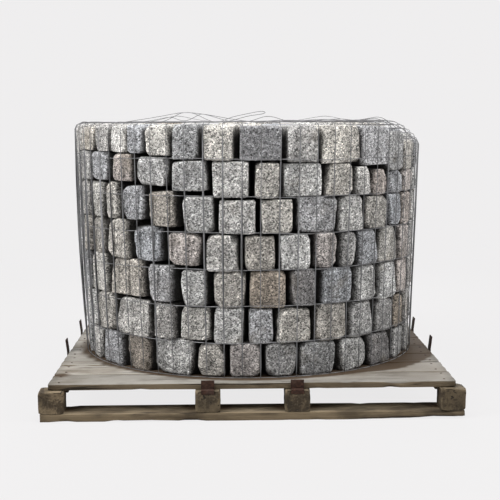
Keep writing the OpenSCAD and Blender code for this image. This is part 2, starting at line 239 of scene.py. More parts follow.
def makeFloor():
    paper = (*studio["paper"], 1)
    bpy.ops.mesh.primitive_circle_add(vertices=96, radius=14, fill_type="NGON")
    floor = bpy.context.object
    floor.name = "floor"
    finish = Finish("paleFloor")
    place = finish.objectPlace()
    radius = finish.add("ShaderNodeVectorMath", {"operation": "LENGTH"}, {0: place}).out("Value")
    far = finish.band(radius, *studio["clearing"])
    seen = finish.add("ShaderNodeLightPath").out("Is Camera Ray")
    soft = finish.noise(place, 3, 2)
    tone = finish.mix(soft, studio["floor"], tuple(0.96 * c for c in studio["floor"]))
    near = finish.add("ShaderNodeBsdfPrincipled", None, {"Base Color": tone, "Roughness": 0.8})
    glow = finish.add("ShaderNodeEmission", None, {"Color": paper})
    lit = finish.band(far, 0, 1, studio["floorGlow"], 1) * seen      # the rest shows the shadow
    finish.close(finish.add("ShaderNodeMixShader", None, {0: lit, 1: near, 2: glow}))
    floor.data.materials.append(finish.material)


def makeWorld():
    world = bpy.data.worlds.new("studio")
    bpy.context.scene.world = world
    world.use_nodes = True
    tree = world.node_tree
    tree.nodes.clear()
    path = addNode(tree, "ShaderNodeLightPath")
    seen = path.maths("MAXIMUM", path.out("Is Camera Ray"), path.out("Is Glossy Ray"))
    paper = (*studio["paper"], 1)
    dim = addNode(tree, "ShaderNodeBackground", None, {"Color": (1, 1, 1, 1), "Strength": studio["world"]})
    bright = addNode(tree, "ShaderNodeBackground", None, {"Color": paper, "Strength": 1.0})
    both = addNode(tree, "ShaderNodeMixShader", None, {0: seen, 1: dim, 2: bright})
    addNode(tree, "ShaderNodeOutputWorld", None, {"Surface": both})


def makeLamps():
    for name, (place, aim, width, height, watts) in studio["lamps"].items():
        bpy.ops.object.light_add(type="AREA", location=place)
        lamp = bpy.context.object
        lamp.name = name
        lamp.data.shape = "RECTANGLE"
        lamp.data.size = width
        lamp.data.size_y = height
        lamp.data.energy = watts
        lamp.rotation_euler = (Vector(aim) - Vector(place)).to_track_quat("-Z", "Y").to_euler()


def graniteFinish():
    finish = Finish("splitGranite")
    tint = finish.attribute("tint", "Color")
    grain = finish.attribute("grain", "Vector")
    wear = finish.attribute("wear", "Fac")
    depth = finish.attribute("depth", "Fac")
    crystals = finish.cells(grain, granite["crystal"], "Color")
    fine = finish.cells(grain, granite["mica"], "Color")
    pick = finish.add("ShaderNodeSeparateColor", None, {0: crystals})
    finePick = finish.add("ShaderNodeSeparateColor", None, {0: fine})
    mineral = finish.ramp(pick, granite["minerals"], "CONSTANT")
    mica = finish.ramp(finePick, granite["micas"], "CONSTANT")
    colour = finish.mix(1.0, tint, mineral, "MULTIPLY")
    colour = finish.mix(0.85, colour, mica, "MULTIPLY")
    cloud = finish.noise(grain, 22, 4, 0.6)
    colour = finish.mix(1.0, colour, finish.grey(finish.band(cloud, 0.30, 0.72, 0.70, 1.30)), "MULTIPLY")
    stain = finish.band(finish.noise(grain, 9, 3, 0.55), 0.56, 0.74)
    colour = finish.mix(stain * granite["stain"], colour, (0.17, 0.14, 0.10))
    # ridges paler from wear, hollows darker as painted shade
    colour = finish.mix(1.0, colour, finish.grey(finish.band(wear, 0.0, 1.0, 0.46, 1.50)), "MULTIPLY")
    # painted shade: the deeper a point lies behind its stone's face, the nearer black it is coloured, in the
    # gaps and on the flanks
    ragged = depth + 0.35 * finish.noise(grain, 30, 3) - 0.17
    colour = finish.mix(finish.band(ragged, *granite["grimeReach"]) * granite["grime"], colour,
                        (0.016, 0.014, 0.012))
    split = finish.noise(grain, 85, 6, 0.68)
    pits = finish.noise(grain, 300, 3, 0.6)
    coarse = finish.bump(split, 0.012, 0.9)
    normal = finish.bump(pits + 0.6 * pick, 0.0026, 0.7, coarse)
    return finish.surface(colour=colour, roughness=finish.band(pits, 0.3, 0.7, 0.74, 0.94), normal=normal,
                          gloss=0.3)


def coreFinish():
    finish = Finish("innerGranite")
    place = finish.objectPlace()
    speckle = finish.cells(place, 300, "Color")
    pick = finish.add("ShaderNodeSeparateColor", None, {0: speckle})
    # painted shade: the hidden stones are coloured near black, as light hardly reaches them inside the stack
    tone = finish.ramp(pick, [(0, (0.008, 0.008, 0.008)), (0.4, (0.018, 0.017, 0.016)),
                              (0.8, (0.032, 0.031, 0.030))], "CONSTANT")
    normal = finish.bump(finish.noise(place, 60, 4, 0.6), 0.006, 0.8)
    return finish.surface(colour=tone, roughness=0.95, normal=normal)


def wireFinish():
    finish = Finish("dullZinc")
    place = finish.objectPlace()
    blotch = finish.noise(place, 45, 4, 0.6)
    spot = finish.band(finish.noise(place, 14, 3, 0.6), 0.60, 0.72)
    colour = finish.mix(blotch, (0.084, 0.084, 0.087), (0.172, 0.172, 0.177))
    colour = finish.mix(spot * 0.5, colour, (0.060, 0.048, 0.038))
    normal = finish.bump(finish.noise(place, 700, 2), 0.0004, 0.4)
    return finish.surface(colour=colour, metallic=finish.band(blotch, 0.3, 0.7, 0.15, 0.35),
                          roughness=finish.band(blotch, 0.3, 0.7, 0.66, 0.48), normal=normal)


def rustFinish():
    finish = Finish("rustedBar")
    place = finish.objectPlace()
    crust = finish.noise(place, 120, 5, 0.65)
    patch = finish.noise(place, 30, 3, 0.6)
    colour = finish.ramp(crust, [(0.28, (0.009, 0.005, 0.004)), (0.5, (0.024, 0.010, 0.006)),
                                 (0.72, (0.052, 0.021, 0.011))])
    colour = finish.mix(finish.band(patch, 0.5, 0.75, 0, 0.5), colour, (0.033, 0.023, 0.019))
    return finish.surface(colour=colour, roughness=finish.band(crust, 0.3, 0.7, 0.95, 0.7),
                          metallic=0.05, normal=finish.bump(crust, 0.0012, 0.8), gloss=0.2)


def woodFinish(name, along, pale, mid, dark, bleach, ends, flankShadeAndTint, streaks):
    # along is the axis of the grain: 0 for X, 1 for Y, 2 for Z; flankShadeAndTint tints what doesn't face up,
    # partly its colour and partly painted shade
    finish = Finish(name)
    place = finish.objectPlace()
    seed = finish.attribute("seed", "Vector")
    wear = finish.attribute("wear", "Fac")
    soil = finish.attribute("soil", "Fac")
    place = finish.add("ShaderNodeVectorMath", {"operation": "ADD"}, {0: place, 1: seed})
    long = tuple(1.0 if k == along else 0.0 for k in range(3))

    def stretch(lengthwise, across):
        return finish.stretched(place, tuple(lengthwise if use else across for use in long))

    knots = stretch(2.6, 8)
    spots = finish.cells(knots, 1)
    chosen = finish.band(finish.add("ShaderNodeSeparateColor", None, {0: finish.cells(knots, 1, "Color")}),
                         0.50, 0.52)
    knot = finish.band(spots, 0.06, 0.15, 1, 0) * chosen
    swirl = finish.band(spots, 0.06, 0.50, 0.9, 0) * chosen      # the grain runs round a knot

    def grain(lengthwise, across, *shape):
        bent = finish.add("ShaderNodeVectorMath", {"operation": "ADD"},
                          {0: stretch(lengthwise, across), 1: swirl})
        return finish.noise(bent, 1, *shape)

    rings = grain(1.6, 26, 4, 0.55, 0.6)
    lines = grain(5, 190, 5, 0.62)
    fibres = finish.noise(stretch(14, 900), 1, 3, 0.55)
    blotch = finish.noise(stretch(5, 9), 1, 4, 0.6)
    figure = finish.band(rings * 0.5 + blotch * 0.3 + lines * 0.2, 0.50 - streaks, 0.49 + streaks)
    colour = finish.mix(figure, dark, mid)
    facing = finish.add("ShaderNodeNewGeometry").out("Normal")
    up = finish.add("ShaderNodeSeparateXYZ", None, {0: facing}).out("Z")
    top = finish.band(up, 0.3, 0.9)
    # pale patches, stronger on faces that look up: partly bleaching, partly painted light from above
    bleachAndTopLight = finish.band(blotch + 0.25 * lines, 0.60 - 2.2 * streaks, 0.62 + streaks) * bleach
    colour = finish.mix(bleachAndTopLight * (0.18 + 0.82 * top), colour, pale)
    colour = finish.mix(finish.band(lines, 0.56, 0.68, 0, 0.3), colour, pale)
    colour = finish.mix(finish.band(fibres, 0.30, 0.46, 0.35, 0), colour, tuple(0.35 * c for c in dark))
    colour = finish.mix(knot * 0.85, colour, tuple(0.4 * c for c in dark))
    crack = finish.band(grain(3.0, 110, 3, 0.4, 0.4), 0.31, 0.345, 1, 0)
    colour = finish.mix(crack * 0.9, colour, (0.010, 0.008, 0.006))
    grime = finish.band(finish.noise(stretch(8, 14), 1, 3, 0.6), 0.50, 0.68)
    colour = finish.mix(grime * ends, colour, tuple(0.45 * c for c in dark))
    # wear: paler worn parts, and on the blocks hollows darker as painted shade
    colour = finish.mix(1.0, colour, finish.grey(finish.band(wear, 0.0, 1.0, 0.5, 1.5)), "MULTIPLY")
    # faces that don't look up take flankShadeAndTint: partly their colour, partly painted shade
    colour = finish.mix(top, finish.mix(1.0, colour, flankShadeAndTint, "MULTIPLY"), colour)
    # soil: dirt and painted shadow of the stack on the deck, painted shadow beside the blocks on the bottom
    # boards
    colour = finish.mix(finish.band(soil + 0.3 * blotch, 0.30, 0.75, 0, 0.94), colour, (0.040, 0.024, 0.012))
    height = lines * 0.5 + fibres * 0.3 - crack * 1.2 - knot * 0.5
    return finish.surface(colour=colour, roughness=0.86, gloss=0.15,
                          normal=finish.bump(height, 0.0026, 0.7))


print("materials ready to make")


def points(mesh):
    flat = np.empty(len(mesh.vertices) * 3)
    mesh.vertices.foreach_get("co", flat)
    return flat.reshape(-1, 3)


def setPoints(mesh, places):
    mesh.vertices.foreach_set("co", places.ravel())
    mesh.update()


def copyOf(node, name):
    piece = nodes[node].copy()
    piece.data = nodes[node].data.copy()
    piece.name = name
    piece.parent = None
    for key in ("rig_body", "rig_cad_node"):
        if key in piece:
            del piece[key]
    bpy.context.scene.collection.objects.link(piece)
    only(piece)
    bpy.ops.object.mode_set(mode="EDIT")
    bpy.ops.mesh.select_all(action="SELECT")
    bpy.ops.mesh.remove_doubles(threshold=1e-5)
    bpy.ops.object.mode_set(mode="OBJECT")
    return piece


def modify(piece, kind, **settings):
    only(piece)
    modifier = piece.modifiers.new(kind.lower(), kind)
    for name, value in settings.items():
        setattr(modifier, name, value)
    bpy.ops.object.modifier_apply(modifier=modifier.name)


def store(mesh, name, kind, values):
    field = mesh.attributes.new(name, kind, "POINT")
    slot = {"FLOAT_COLOR": "color", "FLOAT_VECTOR": "vector", "FLOAT": "value"}[kind]
    field.data.foreach_set(slot, np.ascontiguousarray(values, dtype=np.float32).ravel())


def edgeEnds(mesh):
    ends = np.empty(len(mesh.edges) * 2, np.int64)
    mesh.edges.foreach_get("vertices", ends)
    return ends.reshape(-1, 2)


def islands(mesh):
    ends = edgeEnds(mesh)
    label = np.arange(len(mesh.vertices))
    while True:
        low = np.minimum(label[ends[:, 0]], label[ends[:, 1]])
        joined = label.copy()
        np.minimum.at(joined, ends[:, 0], low)
        np.minimum.at(joined, ends[:, 1], low)
        if (joined == label).all():
            return np.unique(label, return_inverse=True)[1]
        label = joined


def bulge(mesh):
    # how sharply the surface turns at each point: over 0 on ridges, under 0 in hollows
    ends = edgeEnds(mesh)
    places = points(mesh)
    normals = np.empty(len(mesh.vertices) * 3)
    mesh.vertices.foreach_get("normal", normals)
    normals = normals.reshape(-1, 3)
    step = places[ends[:, 1]] - places[ends[:, 0]]
    step /= np.linalg.norm(step, axis=1, keepdims=True) + 1e-12
    total = np.zeros(len(places))
    count = np.zeros(len(places))
    for side, sign in ((0, -1), (1, 1)):
        lean = sign * (normals[ends[:, side]] * step).sum(1)
        total += np.bincount(ends[:, side], lean, len(places))
        count += np.bincount(ends[:, side], minlength=len(places))
    return total / np.maximum(count, 1)


def keep(piece, slot, material, *replaced):
    piece.data.materials.clear()
    piece.data.materials.append(material)
    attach(piece, "root")
    if replaced:
        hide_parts(*replaced)
    return piece


granite = {
    "crystal": 330,          # cells to the metre of the large crystals and of the mica
    "mica": 560,
    "minerals": [(0, 0.20), (0.13, 0.48), (0.30, 0.82), (0.52, 1.0), (0.74, 1.28), (0.92, 1.8)],
    "micas": [(0, 0.34), (0.10, 0.80), (0.38, 1.0), (0.86, 1.28)],
    "stain": 0.35,
    "grime": 0.95,           # painted shade: how dark a stone is made deep in the stack
    "grimeReach": (0.07, 0.50),
}

stones = {
    "voxel": 0.0064,         # mesh size on a stone
    "innerVoxel": 0.0076,    # and on the stones inside the ring
    "berth": 0.26,           # room for each stone in the row in which they are shaped
    "taper": (-0.03, 0.04),  # how much narrower a stone is at its face than at its back
    "sideTaper": 0.055,      # and how much more so at the sides
    "topTaper": -0.11,       # and in the top course
    "deep": 0.096,           # depth over which a stone tapers
    "halfHigh": 0.05,        # height over which it narrows
    "square": 0.070,         # how far it is grown and cut back to its box, which tightens its edges
    "snug": 0.0026,          # gap left to the wires by the stone's most forward point
    "nearest": 0.021,        # most that a stone is moved out to them
    "farthest": -0.02,       # and in from them
    "away": 6.5,             # how far the stones at the sides are turned from the front, in degrees
    "turn": 3.8,             # most that a stone is turned on its bed, in degrees
    "lean": 1.8,             # most that it leans forwards or back
    "roll": 6.0,             # most that it leans to a side
    "lift": 0.0050,          # most that its roll lifts a stone's edge
    "slack": 0.0009,         # how far a stone may stand past its sawn block's sides
    "short": 0.045,          # share by which a stone may be lower than its course
    "squeeze": 0.12,         # most that a stone narrows from one end to the other
    "swell": (0.0008, 0.0004, 0.0015),       # how far the faces stand over the sawn solid
    "chips": ((0.0, 0.0030), (0.0, 0.0034), (0.0004, 0.0090)),   # lost at a face, edge and corner
    "tilts": (0.06, 0.22, 0.45),
    # size of the dents, how deep, and the share of the depth that stands proud
    "dents": [(0.055, 0.0070, 0.43), (0.018, 0.0052, 0.5), (0.0085, 0.0034, 0.5)],
    "shade": 0.086,          # depth behind the face at which no light is left
    "sideShade": 1.10,       # how much sooner that is at the sides
    "topShade": 0.004,       # depth that counts on the very top of the stack
    "wear": 1.6,             # how far ridges are worn pale and hollows darkened as painted shade
}

# linear colours of a stone, before the pattern darkens them
tints = {
    "light": (0.469, 0.461, 0.446),
    "grey": (0.355, 0.347, 0.337),
    "slate": (0.268, 0.265, 0.262),
    "dark": (0.205, 0.202, 0.205),
    "blue": (0.328, 0.331, 0.342),
    "beige": (0.431, 0.413, 0.382),
    "pink": (0.399, 0.361, 0.338),
    "brown": (0.284, 0.247, 0.209),
    "tan": (0.366, 0.345, 0.315),
}

courseLight = (0.84, 0.92, 0.90, 0.88, 0.91, 0.94, 1.11)      # painted light and shade of the courses, lowest first: the lower ones darker, the top one brighter

# for courses 1 (lowest) to 7: where the front begins, in degrees, and its stones from the left
frontTones = [
    (-84, "grey light blue brown light tan pink slate slate light dark grey grey"),
    (-83, "light light tan light grey beige light blue beige tan grey slate brown grey"),
    (-77, "blue beige tan blue light tan brown dark blue light light pink grey"),
    (-84, "grey tan tan beige blue pink light tan light pink grey blue beige pink grey"),
    (-83, "blue grey beige beige blue tan light light beige blue light tan blue pink"),
    (-82, "grey grey blue pink grey grey light beige light beige light pink blue pink grey"),
    (-82, "grey tan grey light blue beige slate beige dark grey beige blue slate tan"),
]


def stoneTones(course, angles):
    choice = random.Random(300 + course)
    names = list(tints)
    weights = [4, 6, 3, 2, 3, 3, 1.2, 1, 3]
    tones = choice.choices(names, weights, k=len(angles))
    if course:
        start, front = frontTones[course - 1]
        visible = [i for i in np.argsort(angles) if angles[i] > start]
        for i, name in zip(visible, front.split()):
            tones[i] = name
    shades = []
    for i in range(len(angles)):
        level = choice.uniform(0.93, 1.07) * (courseLight[course - 1] if course else 1)
        warmth = choice.uniform(-0.006, 0.006)
        r, g, b = tints[tones[i]]
        shades.append((r * level + warmth, g * level, b * level - warmth, 1))
    return np.array(shades)


def dentTexture(name, size):
    texture = bpy.data.textures.get(name) or bpy.data.textures.new(name, "CLOUDS")
    texture.noise_scale = size
    texture.noise_depth = 2
    texture.noise_basis = "IMPROVED_PERLIN"
    return texture


def turned(places, angles):
    # places turned about Z by one angle each
    c, s = np.cos(angles), np.sin(angles)
    x = places[:, 0] * c - places[:, 1] * s
    y = places[:, 0] * s + places[:, 1] * c
    return np.column_stack([x, y, places[:, 2]])


def chipped(places, spread, losses, tilts):
    # one block with flats struck off its faces, edges and corners
    for x, y, z in itertools.product((-1, 0, 1), repeat=3):
        sides = abs(x) + abs(y) + abs(z)
        if sides == 0:
            continue
        chip = spread.uniform(*losses[sides - 1])
        tilt = tilts[sides - 1]
        away = np.array((x, y, z)) + spread.uniform(-tilt, tilt, 3)
        away /= np.linalg.norm(away)
        reach = places @ away
        over = reach - (reach.max() - chip)
        places -= np.outer(np.maximum(over, 0), away)
    return places


def roomFor(block, slack):
    # planes through the sides of a sawn block, moved out by the slack: axis, side and the plane
    walls = []
    for k, side in ((0, -1), (0, 1), (2, -1), (2, 1)):
        others = [i for i in range(3) if i != k]
        reach = side * block[:, k]
        near = block[reach > reach.max() - 0.3 * (reach.max() - reach.min())]
        level = np.column_stack([near[:, others], np.ones(len(near))])
        plane = np.linalg.lstsq(level, side * near[:, k], rcond=None)[0]
        over = reach - block[:, others] @ plane[:2] - plane[2]
        walls.append((k, side, others, plane[:2], plane[2] + over.max() + slack))
    return walls


def heldIn(stone, walls):
    for k, side, others, slope, level in walls:
        limit = stone[:, others] @ slope + level
        stone[:, k] = side * np.minimum(side * stone[:, k], limit)
    return stone


def shapeStones(node, name, course, material):
    piece = copyOf(node, name)
    mesh = piece.data
    label = islands(mesh)
    places = points(mesh)
    count = label.max() + 1
    weight = np.bincount(label)
    centres = np.column_stack([np.bincount(label, places[:, k]) / weight for k in range(3)])
    angles = np.arctan2(centres[:, 0] - axis.x, axis.y - centres[:, 1])
    reach = np.hypot(centres[:, 0] - axis.x, centres[:, 1] - axis.y)
    sawn = turned(places - centres[label], -angles[label])
    rooms = [roomFor(sawn[label == i], stones["slack"]) for i in range(count)]
    spread = np.random.default_rng(500 + course)
    skew = np.radians(spread.uniform(-stones["turn"], stones["turn"], count))
    skew -= math.radians(stones["away"]) * np.sin(2 * angles) * (course > 0)
    lean = np.radians(spread.uniform(-stones["lean"], stones["lean"], count))
    roll = np.radians(spread.uniform(-stones["roll"], stones["roll"], count))
    short = spread.uniform(0, stones["short"], count)
    squeeze = spread.uniform(-stones["squeeze"], stones["squeeze"], count)
    taper = spread.uniform(*stones["taper"], count) + stones["sideTaper"] * np.abs(np.sin(2 * angles))
    taper += stones["topTaper"] * (course == 7)
    taper *= course > 0
    local = turned(places - centres[label], -(angles + skew)[label])
    half, foot = np.zeros(count), np.ones(count)
    np.maximum.at(half, label, np.abs(local[:, 0]))
    np.minimum.at(foot, label, local[:, 2])
    roll = np.clip(roll, -stones["lift"] / half, stones["lift"] / half)
    if 0 < course < 7:
        local[:, 2] -= short[label] * (local[:, 2] - foot[label])
    local[:, 0] *= 1 + squeeze[label] * local[:, 2] / stones["halfHigh"]
    local[:, 0] *= 1 - taper[label] * np.clip(0.5 - local[:, 1] / stones["deep"], 0, 1)
    local[:, 1] += np.tan(lean)[label] * local[:, 2]
    local[:, [0, 2]] += np.tan(roll)[label, None] * local[:, [2, 0]] * (-1, 1)
    local[:, 0] += label * stones["berth"]
    setPoints(mesh, local)
    modify(piece, "REMESH", mode="VOXEL", use_smooth_shade=True,
           voxel_size=stones["voxel"] if course else stones["innerVoxel"])
    mesh = piece.data
    local = points(mesh)
    label = np.rint(local[:, 0] / stones["berth"]).astype(int)
    local[:, 0] -= label * stones["berth"]
    for i in range(count):
        stone = local[label == i]
        low, high = stone.min(0), stone.max(0)
        stone = np.clip(stone * (1 + stones["square"]), low, high)
        stone = stone * (1 + 2 * np.array(stones["swell"]) / (high - low))
        local[label == i] = chipped(stone, spread, stones["chips"], stones["tilts"])
    local[:, 0] += label * stones["berth"]
    setPoints(mesh, local)
    for size, depth, proud in stones["dents"]:
        texture = dentTexture("dent%d" % round(1e4 * size), size)
        modify(piece, "DISPLACE", texture=texture, texture_coords="LOCAL", strength=depth, mid_level=proud)
    mesh = piece.data
    ridge = bulge(mesh)
    local = points(mesh)
    grain = local + spread.uniform(0, 5, (count, 3))[label]
    local[:, 0] -= label * stones["berth"]
    # behind the face for the ring, below the top for the stones inside it
    shown = -local[:, 1] if course else local[:, 2]
    front = np.full(count, -1.0)
    np.maximum.at(front, label, shown)
    if course:
        height = centres[label, 2] + local[:, 2]
        wire = np.polyval(cageLine, height) + belly(angles[label], height)
        out = np.hypot(local[:, 0], reach[label] - local[:, 1])
        room = np.full(count, 1.0)
        np.minimum.at(room, label, wire - out)
        move = np.clip(room - stones["snug"], stones["farthest"], stones["nearest"])
        local[:, 1] -= move[label]
    for i in range(count):
        local[label == i] = heldIn(local[label == i], rooms[i])
    places = turned(local, angles[label]) + centres[label]
    setPoints(mesh, places)
    # depth for the painted shade: how far a point lies behind its stone's face, counted sooner at the sides
    hidden = (front[label] - shown) * (1 + stones["sideShade"] * np.abs(np.sin(angles)))[label]
    if course == 7:
        tops = np.full(count, -1.0)
        np.maximum.at(tops, label, local[:, 2])
        hidden = np.minimum(hidden, tops[label] - local[:, 2] + stones["topShade"])
    store(mesh, "tint", "FLOAT_COLOR", stoneTones(course, np.degrees(angles))[label])
    store(mesh, "grain", "FLOAT_VECTOR", grain)
    store(mesh, "wear", "FLOAT", np.clip(0.5 + stones["wear"] * ridge, 0, 1))
    store(mesh, "depth", "FLOAT", np.clip(hidden / stones["shade"], 0, 1))
    only(piece)
    bpy.ops.object.shade_smooth()
    print(name, count, "stones", len(mesh.polygons), "faces")
    return keep(piece, "granite", material, node)


def widening():
    # radius of the cage as a line over the height
    places = points(nodes["cage_front"].data)
    places = places[places[:, 2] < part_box("cage_front")[1][2] - 0.05]
    return np.polyfit(places[:, 2], np.hypot(places[:, 0] - axis.x, places[:, 1] - axis.y), 1)


def belly(angle, height):
    # how far the load has settled outwards at this angle from the front and this height
    share = np.clip((height - deckTop) / (cadBox[1].z - deckTop), 0, 1)
    return np.sin(math.pi * share) * (cage["belly"] - cage["leftwards"] * np.sin(angle))


inner = {
    "voxel": 0.014,
    "joints": 0.095,         # size of the hidden stones
    "sunk": 0.03,            # how deep the joints between them are
}


def makeStones():
    finish = graniteFinish()
    for course in range(1, 8):
        shapeStones("course_%d" % course, "cobbles%d" % course, course, finish)
    shapeStones("top_fill", "topCobbles", 0, finish)
    hidden = copyOf("core", "innerCobbles")
    modify(hidden, "REMESH", mode="VOXEL", voxel_size=inner["voxel"], use_smooth_shade=True)
    texture = bpy.data.textures.new("innerJoints", "VORONOI")
    texture.noise_scale = inner["joints"]
    modify(hidden, "DISPLACE", texture=texture, texture_coords="LOCAL", strength=-inner["sunk"],
           mid_level=0.0)
    keep(hidden, "granite", coreFinish(), "core")


cage = {
    "sway": 0.0045,          # most that a wire strays along the stack or up and down
    "bulge": 0.0012,         # and away from the stones
    "belly": 0.0045,         # how far the load has settled outwards half way up
    "leftwards": 0.0045,     # and how much further on the left than on the right
    "waves": (3.4, 9.0),     # strays to the metre, long and short
    "longest": 0.045,        # length of wire between two points of the mesh
    "fold": 0.06,            # depth of the folded top, where wires stray only upwards
    "held": (0.004, 0.05),   # height up to which they lie still, and over which they come free
    "seed": 40,
}


def refine(piece, longest):
    # halves the long edges till none is over the length
    only(piece)
    bpy.ops.object.mode_set(mode="EDIT")
    bpy.ops.mesh.select_mode(type="EDGE")
    while True:
        bpy.ops.mesh.select_all(action="DESELECT")
        bpy.ops.object.mode_set(mode="OBJECT")
        ends = points(piece.data)[edgeEnds(piece.data)]
        long = np.linalg.norm(ends[:, 0] - ends[:, 1], axis=1) > longest
        piece.data.edges.foreach_set("select", long)
        bpy.ops.object.mode_set(mode="EDIT")
        if not long.any():
            break
        bpy.ops.mesh.subdivide(number_cuts=1)
    bpy.ops.object.mode_set(mode="OBJECT")


def stray(places, scale, seed):
    return np.array([noise.noise(Vector(p) * scale + Vector((seed, 0, 0))) for p in places])


def bendWires(node, name, seed, material):
    piece = copyOf(node, name)
    refine(piece, cage["longest"])
    mesh = piece.data
    places = points(mesh)
    out = places - np.array(axis)
    out[:, 2] = 0
    out /= np.linalg.norm(out, axis=1, keepdims=True)
    along = np.column_stack([-out[:, 1], out[:, 0], out[:, 2]])
    low, high = cage["waves"]
    sway = [stray(places, low, seed + k) + 0.5 * stray(places, high, seed + k + 9) for k in (0, 3, 6)]
    lift = np.where(places[:, 2] > cadBox[1].z - cage["fold"], np.abs(sway[1]), sway[1])
    still, free = cage["held"]
    lift *= np.clip((places[:, 2] - deckTop - still) / free, 0, 1)
    places += cage["sway"] * np.outer(sway[0], (1, 1, 1)) * along
    angle = np.arctan2(out[:, 0], -out[:, 1])
    away = cage["bulge"] * (sway[2] + 0.4) + belly(angle, places[:, 2])
    places += np.outer(away, (1, 1, 1)) * out
    places[:, 2] += cage["sway"] * lift
    setPoints(mesh, places)
    only(piece)
    bpy.ops.object.shade_smooth_by_angle(angle=math.radians(70))
    print(name, len(mesh.polygons), "faces")
    return keep(piece, "wire", material, node)


def makeCage():
    finish = wireFinish()
    for side in ("front", "right", "back", "left"):
        bendWires("cage_" + side, side + "Mesh", cage["seed"], finish)
    loops = copyOf("top_loops", "looseWires")
    modify(loops, "SUBSURF", levels=1, render_levels=1)
    only(loops)
    bpy.ops.object.shade_smooth()
    keep(loops, "wire", finish, "top_loops")


planks = {
    "slice": (0.025, 0.012, 0.009),     # size of a mesh face along, across and through a board
    "arris": 0.0022,
    "chip": 0.0045,          # deepest chip off an arris
    "chipsAt": 0.22,         # noise over which an arris is chipped
    "wave": 0.0007,          # hollows in the faces
    "ragged": 0.003,         # how uneven the sawn ends are
    "reach": 0.011,          # how far from the arris a chip reaches
    "dull": {"deck_board_1": 0.19},      # boards that are dirtier than the rest
}

blocks = {
    "voxel": 0.0046,
    "square": 0.085,         # how far a block is grown and cut back to its box
    "corner": (0.001, 0.006),
    "edge": (0.0003, 0.0028),
    "face": (0.0, 0.0010),
    "dents": [(0.040, 0.0016, 0.35), (0.012, 0.0013, 0.5)],
    "bleached": {"blocks_front": (0.36, -0.10, 0.02, -0.14)},    # how much paler, from the left
}

# the strap that carries an end tab on over its block
straps = {
    "thick": 0.0026,
    "inset": 0.0004,         # how far its face stands back from the outermost face
    "drop": 0.0095,          # how far it comes down the block's face
}

tabs = {
    "bevel": 0.0009,
    "longest": 0.008,        # length of an edge of the mesh
    "flake": 0.012,          # size of the flakes of rust
    "pitted": 0.0012,        # how deep they have come off
    "play": 0.0015,          # room beside a tab where it is let in
}

nails = {
    "radius": 0.0036,
    "height": 0.0016,
    "apart": 0.033,          # either way from the middle of a board
    "columns": (0.528, 0.121),
    "stray": 0.005,
}

# dirt and painted shadow on the deck and the bottom boards
soil = {
    "foot": 0.49,            # radius of the stack's foot
    # angle from the front, how far the dark ring of dirt and painted shadow reaches out from the foot, how
    # strong and how sharp it is
    "around": [(-180, 0.045, 0.5, 2.2), (-54, 0.052, 0.6, 3), (-35, 0.048, 0.65, 3), (-20, 0.052, 0.7, 3),
               (20, 0.054, 0.7, 3), (37, 0.066, 0.8, 4), (46, 0.100, 1, 5), (68, 0.110, 1, 5),
               (105, 0.110, 1, 5), (125, 0.045, 0.5, 2.2), (180, 0.045, 0.5, 2.2)],
    "blockSides": (0.087, 0.155, 0.508),     # painted shadow lies on the bottom boards beside the blocks
    "besideBlock": (0.85, 0.042),            # how strong it is and how far it reaches
    # other marks: x, y, radius, strength
    "patches": [(0.46, -0.47, 0.26, 0.32), (-0.52, 0.30, 0.12, 0.8), (-0.535, -0.49, 0.05, 0.6)],
}

# the lower front edge that is missing from the front board: x, share of the height
wanes = {
    "depth": 0.030,
    "height": 0.009,
    "line": [(-0.400, 0), (-0.385, 0.6), (-0.250, 0.4), (-0.130, 0), (0.230, 0), (0.445, 0.5),
             (0.470, 1), (0.555, 0.8), (0.575, 0.9)],
}


def slicedBox(node, name, along):
    low, high = (Vector(corner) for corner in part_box(node))
    bpy.ops.object.select_all(action="DESELECT")
    bpy.ops.mesh.primitive_cube_add(size=1, location=(low + high) / 2)
    plank = bpy.context.object
    plank.name = name
    plank.scale = high - low
    bpy.ops.object.transform_apply(location=True, rotation=False, scale=True)
    order = (along, 1 - along, 2)
    for axisAt, pitch in zip(order, planks["slice"]):
        size = (high - low)[axisAt]
        ends = points(plank.data)[edgeEnds(plank.data)]
        runs = np.abs(ends[:, 0] - ends[:, 1])[:, axisAt] > 0.9 * size
        cutEdges(plank, runs, max(1, round(size / pitch) - 1))
    places = points(plank.data)
    ends = places[edgeEnds(plank.data)]
    middle = ends.mean(1)
    corner = np.ones(len(middle), bool)
    for axisAt in order[1:]:
        corner &= np.minimum(middle[:, axisAt] - low[axisAt], high[axisAt] - middle[:, axisAt]) < 1e-5
    plank.data.edges.foreach_set("select", corner)
    bpy.ops.object.mode_set(mode="EDIT")
    bpy.ops.mesh.bevel(offset=planks["arris"], segments=2, affect="EDGES")
    bpy.ops.object.mode_set(mode="OBJECT")
    return plank, np.array(low), np.array(high)


def cutEdges(piece, chosen, cuts):
    only(piece)
    bpy.ops.object.mode_set(mode="EDIT")
    bpy.ops.mesh.select_mode(type="EDGE")
    bpy.ops.mesh.select_all(action="DESELECT")
    bpy.ops.object.mode_set(mode="OBJECT")
    piece.data.edges.foreach_set("select", chosen)
    bpy.ops.object.mode_set(mode="EDIT")
    bpy.ops.mesh.subdivide(number_cuts=cuts)
    bpy.ops.mesh.select_all(action="DESELECT")
    bpy.ops.object.mode_set(mode="OBJECT")


